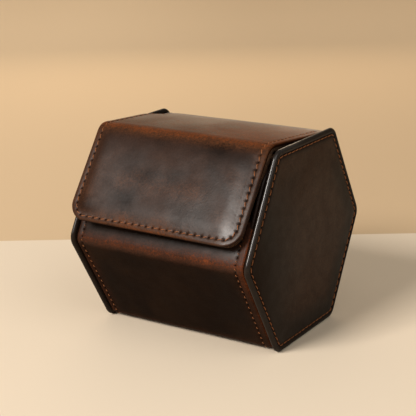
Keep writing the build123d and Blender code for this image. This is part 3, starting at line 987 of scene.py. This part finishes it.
def end_gusset(name, mirror):
    """Inner end leather: it shows beside the opening and hides under the wrap elsewhere."""
    edge, round_deep, half = 1.4, 0.8, (RIM_X - GUSSET_X) / 2
    section = [(40, RIM_X), (edge, RIM_X)]
    for angle in np.radians(np.linspace(80, -90, 13)):
        x = GUSSET_X + half + half * math.sin(angle)
        section.append((edge - round_deep * math.cos(angle), x))
    section += [(2.8, GUSSET_X), (40, GUSSET_X)]
    flat, faces, inset = ring_body(section)
    outline = np.tile(hex_ring(0), (len(section), 1))
    shown = smooth(outline[:, 1], 59, 62) * smooth(-outline[:, 0], 27, 33)
    sunk = 3.0 * (1 - shown) * smooth(-inset, -12, -3) - 0.1 * lumps(flat, 4.0, 21.0)
    places = flat - from_axis(flat) * sunk[:, None]
    return make_mesh(name, places, faces, leather_attributes(flat), 60, mirror)


SIDES = (("right", False), ("left", True))
for side, mirror in SIDES:
    cover = end_cover(f"end_leather_{side}", mirror)
    dress(cover, end_skin, "shell", [f"end_cover_{side}"])
    gusset = end_gusset(f"gusset_edge_{side}", mirror)
    dress(gusset, gusset_skin, "shell", [f"end_gusset_{side}"])

row_ring = np.insert(hex_ring(END_ROW), 0, FACE_X - 0.5, axis=1)
facing = np.tile([1.0, 0, 0], (len(row_ring), 1))
end_rows = [
    Row(row_ring, facing, closed=True),
    Row(row_ring * np.array([-1, 1, 1]), -facing, closed=True),
]
thread_piece("end_stitches", end_rows, "shell", slant=0.14, lift=0.16, cover=0.78)


# --- turned edges, lining and end panels ---
def swept(name, section, half):
    """A closed body swept along X: the section is (s, depth) on the wrap, its ends round off."""
    ends = [0, 0.04, 0.12, 0.25, 0.42, 0.6]
    x_steps = [e - half for e in ends] + list(steps(2 - half, half - 2, 2.0))
    x_steps += [half - e for e in ends[::-1]]
    section = np.array(section)
    middle = section.mean(axis=0)
    places = []
    for x in x_steps:
        near = min((half - abs(x)) / ends[-1], 1)
        share = math.sqrt(1 - (1 - near) ** 2) * 0.85 + 0.15
        ring = middle + (section - middle) * share
        places.append(wrap.place(np.insert(ring[:, :1], 0, x, axis=1), ring[:, 1]))
    flat = np.concatenate([np.insert(section, 0, x, axis=1) for x in x_steps])
    wear = 0.55 * (0.5 + 0.3 * lumps(flat, 5.0, 31.0))
    attributes = leather_attributes(flat, wear=wear, gloss=0.4)
    faces = tube_faces(len(x_steps), len(section))
    return make_mesh(name, np.concatenate(places), faces, attributes, sharp=60)


arc = np.radians(np.linspace(0, 180, 15))
lip_cap = [(-0.85 * math.sin(a), 2.12 - 2.12 * math.cos(a)) for a in arc]
lip_edge = swept("lip_turned_edge", lip_cap + [(0.5, 4.1), (0.5, 0.4)], SHELL_X)
dress(lip_edge, shell_skin, "shell")

rear_cap = [(S_SHELL + 0.5 * math.sin(a), 3.0 - 1.3 * math.cos(a)) for a in arc]
rear_cap += [(S_SHELL - 0.4, SHELL_INNER), (S_SHELL - 0.4, 1.75)]
rear_edge = swept("lining_turned_edge", rear_cap, PANEL_X - 0.2)
dress(rear_edge, lining_suede, "shell")


def shell_lining():
    """The suede inside the shell, glued to its boards."""
    outline, insets = (GUSSET_X, 0, S_SHELL, 0, 0), (0, 0.3, 1.0, 3.0)
    flat, triangles, u = flat_sheet(outline, wrap.bends[:4], 2.4, insets, 1.0)
    uneven = 0.12 * (1 + lumps(spots(*flat.T), 9.0, 6.0))

    def place(where, depth):
        return wrap.place(where, SHELL_INNER - LINING + depth)

    places, faces, _, _ = sheet_body(flat, triangles, u, place, LINING, 0.4, inward=uneven)
    return make_mesh("lining", places, faces, sharp=50)


dress(shell_lining(), lining_suede, "shell", ["shell_lining"])

# Corners (y, z) of the end panels, which end short of the shell's lining all round.
PANEL_CORNERS = np.array(
    [(45.67, 45.0), (22.99, 83.91), (-21.22, 86.87), (-45.67, 45.0), (-22.72, 5.65), (22.72, 5.65)]
)
PANEL_REACH = 39.5  # from the middle of a panel to its sides


def panel_distance(y, z):
    """How far inside the panel's outline a point lies."""
    out = []
    for start, end in zip(PANEL_CORNERS, np.roll(PANEL_CORNERS, -1, axis=0)):
        along = (end - start) / np.linalg.norm(end - start)
        out.append(-(y - start[0]) * along[1] + (z - start[1]) * along[0])
    return np.min(out, axis=0)


def scattered(inside, box, step, lines):
    """Points of a grid where inside() allows, with denser lines added."""
    x, y = np.meshgrid(np.arange(box[0], box[1], step), np.arange(box[2], box[3], step))
    grid = np.stack([x.ravel(), y.ravel()], axis=1)
    grid = grid[inside(grid[:, 0], grid[:, 1]) > 0.6 * step]
    return np.unique(np.round(np.vstack([grid] + lines), 4), axis=0)


def end_panel(side, mirror):
    """A suede-covered board inside an end, its edge rounded where it shows."""
    lines = []
    for inset in (0, 0.08, 0.25, 0.5, 0.9, 1.6):
        ring = PANEL_CORNERS * (1 - inset / PANEL_REACH)
        ring = ring + np.array([0, FLATS / 2]) * inset / PANEL_REACH
        for start, end in zip(ring, np.roll(ring, -1, axis=0)):
            lines.append(start + (end - start) * np.linspace(0, 1, 60)[:-1, None])
    grid = scattered(lambda y, z: panel_distance(y, z) - 1.6, (-46, 46, 4, 88), 2.2, lines)
    flat, triangles = triangulate(grid)
    u = np.maximum(panel_distance(*flat.T), 0)
    u[u < 0.03] = 0

    def place(where, depth):
        return np.stack([PANEL_X + depth, where[:, 0], where[:, 1]], axis=1)

    uneven = 0.05 * lumps(np.insert(flat, 0, 0, axis=1), 9.0, 8.0)
    thickness = GUSSET_X - PANEL_X
    places, faces, _, _ = sheet_body(flat, triangles, u, place, thickness, 0.9, uneven)
    piece = make_mesh(f"panel_suede_{side}", places, faces, None, 50, mirror)
    dress(piece, lining_suede, "shell", [f"end_panel_{side}"])


for side, mirror in SIDES:
    end_panel(side, mirror)


# --- the insert: pad, cup pad and pull tab ---
INSERT_ORIGIN = np.array([0, -36.833, 60.304])
DECK_TILT = math.radians(12)
DECK_Z = -6.0  # where the deck pad's top lies in the insert's frame
PAD_BOX = (-38.9, 38.9, -4.86, 68.61)
PAD_ROUND = 3.0  # radius of the pad's corners
WELL_Y = 25.1
WELL_R = 24.8
NOTCH_HALF = 11.0
NOTCH_Y = 51.6
SLIT = (20.8, 31.2, 64.01, 65.21)
CUP_PAD_R = 22.7
CUP_SEAT = -13.0
PAD_STEP = 1.3  # mesh step on the pads


def in_insert(x, y, z):
    """Points given in the insert's tilted frame."""
    along = np.array([0, math.cos(DECK_TILT), math.sin(DECK_TILT)])
    up = np.array([0, -math.sin(DECK_TILT), math.cos(DECK_TILT)])
    across = np.stack([x, 0 * x, 0 * x], axis=1)
    return INSERT_ORIGIN + across + y[:, None] * along + z[:, None] * up


def slit_distance(x, y):
    """How far outside the tab's slit a point lies."""
    out = np.stack([SLIT[0] - x, x - SLIT[1], SLIT[2] - y, y - SLIT[3]])
    outside = np.hypot(np.maximum(out[:2].max(axis=0), 0), np.maximum(out[2:].max(axis=0), 0))
    return np.where(outside > 0, outside, out.max(axis=0))


def pad_distance(x, y):
    """How far inside the pad's edges a point lies: its outline, the well and the tab's slit."""
    radius = PAD_ROUND
    dx, dy = PAD_BOX[1] - abs(x), np.minimum(y - PAD_BOX[2], PAD_BOX[3] - y)
    corner = radius - np.hypot(radius - dx, radius - dy)
    outer = np.where((dx < radius) & (dy < radius), corner, np.minimum(dx, dy))
    well = np.hypot(x, y - WELL_Y) - WELL_R
    return np.minimum(np.minimum(outer, well), slit_distance(x, y))


def notch_distance(x, y):
    """How far inside the notch for the crown and bow a point lies."""
    straight = NOTCH_HALF - abs(x)
    rounded = NOTCH_HALF - np.hypot(x, y - NOTCH_Y)
    return np.where(y < NOTCH_Y, straight, rounded) * (y > WELL_Y) - 5.0 * (y <= WELL_Y)


def cup_distance(x, y):
    return CUP_PAD_R - np.hypot(x, y)


def ring_at(radius, step, centre, start=0.0, end=2 * math.pi):
    """Points on a circle, or on an arc of it."""
    angles = np.linspace(start, end, max(3, int(radius * (end - start) / step)) + 1)
    x, y = centre[0] + radius * np.cos(angles), centre[1] + radius * np.sin(angles)
    return np.stack([x, y], axis=1)


def box_line(x0, x1, y0, y1, inset, radius, step):
    """A rectangle with rounded corners, this far inside or, below 0, outside the given one."""
    x0, x1, y0, y1 = x0 + inset, x1 - inset, y0 + inset, y1 - inset
    right, left, top, low = x1 - radius, x0 + radius, y1 - radius, y0 + radius
    corners = ((right, top), (left, top), (left, low), (right, low))
    line = []
    for turn, (corner, following) in enumerate(zip(corners, corners[1:] + corners[:1])):
        first, last = turn * math.pi / 2, (turn + 1) * math.pi / 2
        if radius > 0.05:
            quarter = ring_at(radius, step, corner, first, last)
        else:
            quarter = np.array([corner])
        after = np.array(following) + radius * np.array([math.cos(last), math.sin(last)])
        gap = after - quarter[-1]
        count = max(1, int(np.linalg.norm(gap) / step))
        line += [quarter, quarter[-1] + gap * (np.arange(1, count) / count)[:, None]]
    return np.vstack(line)


def stuffed(name, flat, triangles, fixed, most):
    """How far a skin rises when the foam under it presses up, found by a cloth simulation."""
    mesh = bpy.data.meshes.new(name)
    places = [(x * MM, y * MM, 0) for x, y in flat]
    mesh.from_pydata(places, [], [tuple(map(int, f)) for f in triangles])
    skin = add_object(name, mesh)
    pins = skin.vertex_groups.new(name="pins")
    pins.add([int(i) for i in np.flatnonzero(fixed)], 1.0, "REPLACE")
    cloth = skin.modifiers.new("cloth", "CLOTH")
    for key, value in (
        ("vertex_group_mass", "pins"),
        ("quality", 6),
        ("mass", 0.01),
        ("tension_stiffness", 5),
        ("compression_stiffness", 5),
        ("bending_stiffness", 0.05),
        ("shrink_min", -0.005),
        ("use_pressure", True),
        ("uniform_pressure_force", 40),
    ):
        setattr(cloth.settings, key, value)
    cloth.settings.effector_weights.gravity = 0
    last_frame = 20
    cloth.point_cache.frame_start, cloth.point_cache.frame_end = 1, last_frame
    scene = bpy.context.scene
    for frame_number in range(1, last_frame + 1):
        scene.frame_set(frame_number)
    shaped = skin.evaluated_get(bpy.context.evaluated_depsgraph_get()).to_mesh()
    rise = np.array([v.co.z for v in shaped.vertices]) / MM
    scene.frame_set(1)
    bpy.data.objects.remove(skin)
    return np.clip(rise * np.sign(rise.sum() or 1), 0, most)


def spread(rise, coarse, fine):
    """Carries heights from a coarse sheet to a fine one."""
    tree = kd_tree([(x, y, 0) for x, y in coarse])
    found = []
    for x, y in fine:
        near = tree.find_n((x, y, 0), 6)
        weights = [1 / (distance + 0.3) ** 2 for _, _, distance in near]
        found.append(sum(w * rise[i] for w, (_, i, _) in zip(weights, near)) / sum(weights))
    return np.array(found)


def trimmed(distance, points):
    """Triangulates the points inside an edge and drops what bridges its hollows."""
    flat, triangles = triangulate(points[distance(*points.T) > -1e-3])
    return flat, triangles[distance(*flat[triangles].mean(axis=1).T) > 0]


def pad_skin(name, distance, box, margin, lines, coarse_step, coarse_lines, held, most):
    """A pad's fine sheet, each point's distance from its edge and how far the foam lifts it."""
    points = scattered(lambda x, y: distance(x, y) - margin, box, PAD_STEP, lines)
    flat, triangles = trimmed(distance, points)
    coarse, faces = trimmed(distance, scattered(distance, box, coarse_step, coarse_lines))
    rise = stuffed(name, coarse, faces, held(*coarse.T), most)
    u = np.maximum(distance(*flat.T), 0)
    u[u < 2e-3] = 0
    return flat, triangles, u, spread(rise, coarse, flat)


def pad_piece(name, stands_for, flat, triangles, u, place, thickness, edge_run, out):
    places, faces, _, _ = sheet_body(flat, triangles, u, place, thickness, edge_run, out)
    piece = make_mesh(name, places, faces, sharp=60)
    dress(piece, pad_suede, "shell", [stands_for])


def deck_pad():
    """Foam pad covered with suede: crowned, with a rolled edge at its outline and its well."""
    lines = []
    for inset in (0, 0.12, 0.35, 0.7, 1.15, 1.7, 2.4):
        lines.append(box_line(*PAD_BOX, inset, PAD_ROUND - inset, 0.6))
        lines.append(ring_at(WELL_R + inset, 0.6, (0, WELL_Y)))
    for inset in (0, 0.15, 0.4, 0.8):
        lines.append(box_line(*SLIT, -inset, inset, 0.5))
    for inset in (-0.5, -0.2, 0.1, 0.4, 0.7, 1.0, 1.4):
        radius = NOTCH_HALF - inset
        lines.append(ring_at(radius, 0.5, (0, NOTCH_Y), 0, math.pi))
        lines += [np.array([(radius, y), (-radius, y)]) for y in steps(44, NOTCH_Y, 0.5)]
    coarse_lines = [box_line(*PAD_BOX, 0, PAD_ROUND, 3.0), ring_at(WELL_R, 3.0, (0, WELL_Y))]

    def held(x, y):
        return (pad_distance(x, y) < 1.5) | (notch_distance(x, y) > -1)

    flat, triangles, u, rise = pad_skin(
        "deck_skin", pad_distance, PAD_BOX, 2.4, lines, 3.0, coarse_lines, held, 1.2
    )
    x, y = flat.T
    notch = smooth(notch_distance(x, y), -0.35, 0.9)
    crown = rise + 0.25 * smooth(u, 0, 9)
    uneven = 0.08 * lumps(spots(x, y), 6.0, 41.0)
    out = (crown + uneven) * smooth(u, 0.4, 3) * (1 - notch) - 2.95 * notch

    def place(where, depth):
        x, y = where.T
        slant = -0.9 * depth * smooth(-y, -8, -PAD_BOX[2])
        slant = slant + 0.32 * depth * smooth(y, 62, PAD_BOX[3])
        return in_insert(x, y + slant, DECK_Z - depth)

    pad_piece("deck_pad_suede", "deck_pad", flat, triangles, u, place, 4.0, 1.3, out)


def cup_pad():
    """The soft disc that the watch's back rests on."""
    box = (-CUP_PAD_R, CUP_PAD_R, -CUP_PAD_R, CUP_PAD_R)
    lines = [ring_at(CUP_PAD_R - inset, 0.7, (0, 0)) for inset in (0, 0.1, 0.3, 0.6, 1.0, 1.5)]
    coarse_lines = [ring_at(CUP_PAD_R, 2.6, (0, 0))]

    def held(x, y):
        return cup_distance(x, y) < 0.5

    flat, triangles, u, rise = pad_skin(
        "cup_skin", cup_distance, box, 1.5, lines, 2.6, coarse_lines, held, 1.3
    )
    crown = rise + 0.3 * smooth(u, 0, 12)
    out = crown * smooth(u, 0, 2) + 0.05 * lumps(spots(*flat.T), 5.0, 43.0)

    def place(where, depth):
        x, y = where.T
        return in_insert(x, y + WELL_Y, CUP_SEAT - depth)

    pad_piece("cup_pad_suede", "cup_pad", flat, triangles, u, place, 2.0, 1.0, out)


deck_pad()
cup_pad()


def pull_tab():
    """A strap glued under the deck, up through its slit and turned over the pad."""
    line = Profile([(56.01, -12.8), (65.01, -12.8), (65.01, -4.6), (56.01, -4.5)], [1.6, 2.2])
    half, centre, thickness = 5.0, 26.0, 0.8
    outline, insets = (half, 0, line.length, 1.0, 3.6), (0, 0.08, 0.2, 0.4, 0.7, 1.2)
    flat, triangles, u = flat_sheet(outline, line.bends, 0.9, insets, 0.4)

    def place(where, depth):
        y, z = line.at(where[:, 1], depth)
        return in_insert(where[:, 0] + centre, y, z)

    places, faces, owner, depth = sheet_body(flat, triangles, u, place, thickness, 0.35)
    x, s = flat[owner].T
    turned = 0.7 * bump(s, sum(line.bends[1]) / 2, 2.0)
    wear = np.maximum(turned, 0.5 * smooth(-u[owner], -0.7, -0.1))
    attributes = leather_attributes(np.stack([x, s, depth], axis=1), wear=wear, gloss=0.7)
    piece = make_mesh("tab_strap", places, faces, attributes, sharp=50)
    dress(piece, flap_skin, "shell", ["pull_tab"])


pull_tab()

# --- the flap's threads on its inner side ---
inner_line = wrap.place(flap_line, LEATHER + backing_thickness(flap_line[:, 1]))
inner_row = Row(inner_line, -wrap.normal(flap_line[:, 1]))
flap_threads("inner_stitches", inner_row, shaped=lambda places: askew(places, 0), lift=0.16)


# --- the CAD pieces that stay ---
boards = ["end_board_right", "end_board_left", "lip_board", "lower_front_board", "base_board"]
boards += ["lower_rear_board", "upper_rear_board", "deck_board"]
for names, material in (
    (boards, board_card),
    (["lip_magnets"], magnet_plate),
    (["watch_cup"], cup_leather),
    (["insert_rail_right", "insert_rail_left"], rail_wood),
):
    for name in names:
        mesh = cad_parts[name].data
        mesh.materials.clear()
        mesh.materials.append(material)


# --- stage, light and camera ---
FLOOR_COLOUR = srgb(238, 222, 199)
FAR_COLOUR = srgb(210, 183, 147)
SHEET_EDGE = 0.118  # the pale sheet under the box ends here, behind it
SHEET_TURN = math.radians(32.8)  # and its edge runs across the camera's view
FAR_WALL = 2.0
WALL_HIGH = 1.4
STAGE_HALF = 3
away = Vector((-math.sin(SHEET_TURN), math.cos(SHEET_TURN), 0))
across = Vector((away.y, -away.x, 0))


def panel(name, corners, material_name, colour):
    """A plain flat piece of the stage; its corners are (across, away, up)."""
    mesh = bpy.data.meshes.new(name)
    places = [across * a + away * b + Vector((0, 0, up)) for a, b, up in corners]
    mesh.from_pydata([tuple(place) for place in places], [], [(0, 1, 2, 3)])
    material, _, shader = new_material(material_name, 0.7, 0.2)
    shader.inputs["Base Color"].default_value = (*colour, 1)
    mesh.materials.append(material)
    piece = add_object(name, mesh)
    return piece


def ground(name, near, far, colour):
    half = STAGE_HALF
    corners = ((-half, near, 0), (half, near, 0), (half, far, 0), (-half, far, 0))
    return panel(name, corners, name + "_paper", colour)


def lighten_behind(stage_piece, colour):
    """Paints light on the far ground for the camera only: a glow that grows with distance and to
    the left.
    """
    tree = stage_piece.data.materials[0].node_tree
    place = node(tree, "ShaderNodeNewGeometry").outputs["Position"]
    painted_glow = []
    for direction, low, high, most in ((away, SHEET_EDGE, 1.1, 0.3), (-across, -0.1, 0.2, 0.14)):
        dot = node(tree, "ShaderNodeVectorMath", operation="DOT_PRODUCT")
        feed(place, dot.inputs[0])
        feed(direction, dot.inputs[1])
        painted_glow.append(ramp(dot.outputs["Value"], low, high, 0.0, most))
    seen = node(tree, "ShaderNodeLightPath").outputs["Is Camera Ray"]
    shader = tree.nodes["Principled BSDF"]
    shader.inputs["Emission Color"].default_value = (*colour, 1)
    feed(times(plus(*painted_glow), seen), shader.inputs["Emission Strength"])


def area_light(name, place, aim, size, energy, colour):
    light = bpy.data.lights.new(name, "AREA")
    light.shape = "RECTANGLE"
    light.size, light.size_y = size
    light.energy = energy
    light.color = colour
    lamp = add_object(name, light)
    lamp.location = place
    lamp.rotation_euler = (Vector(aim) - Vector(place)).to_track_quat("-Z", "Y").to_euler()


def camera_at(target, azimuth, elevation, distance, roll, lens):
    """A camera that looks at the target; angles are in degrees, azimuth 0 is the front."""
    az, el, turn = (math.radians(v) for v in (azimuth, elevation, roll))
    back = Vector((math.sin(az) * math.cos(el), -math.cos(az) * math.cos(el), math.sin(el)))
    right = Vector((math.cos(az), math.sin(az), 0))
    up = back.cross(right)
    data = bpy.data.cameras.new("camera")
    data.lens = lens
    data.sensor_width = 36
    data.clip_start = 0.01
    camera = add_object("camera", data)
    rolled = right * math.cos(turn) + up * math.sin(turn)
    upward = up * math.cos(turn) - right * math.sin(turn)
    pose = Matrix((rolled, upward, back)).transposed().to_4x4()
    pose.translation = Vector(target) + back * distance
    camera.matrix_world = pose
    bpy.context.scene.camera = camera


ground("floor", -STAGE_HALF, SHEET_EDGE, FLOOR_COLOUR)
lighten_behind(ground("floor_beyond", SHEET_EDGE, FAR_WALL, FAR_COLOUR), FAR_COLOUR)
wall = ((-STAGE_HALF, 0), (STAGE_HALF, 0), (STAGE_HALF, WALL_HIGH), (-STAGE_HALF, WALL_HIGH))
panel("backdrop", [(a, FAR_WALL, up) for a, up in wall], "wall_paper", FAR_COLOUR)

aim = (0, 0, 0.045)
key_place = Vector(aim) + Vector((-0.22, -0.78, 0.585)) * 2.2
area_light("key", key_place, aim, (0.7, 0.7), 50.0, (1.0, 0.94, 0.88))
area_light("fill", (1.1, -0.5, 1.2), aim, (1.2, 1.2), 7.0, (1.0, 0.97, 0.93))
area_light("back", (-0.4, 0.58, 0.3), aim, (0.6, 0.2), 0.7, (1.0, 0.82, 0.62))

world = bpy.data.worlds.new("studio")
world.use_nodes = True
sky = world.node_tree.nodes["Background"]
sky.inputs["Color"].default_value = (1.0, 0.92, 0.8, 1)
sky.inputs["Strength"].default_value = 0.22
bpy.context.scene.world = world
bpy.context.scene.view_settings.view_transform = "Standard"

camera_at(
    (-0.0055, 0.0001, 0.05151), azimuth=32.812, elevation=16.653, distance=0.5415, roll=-1.069,
    lens=102.2,
)
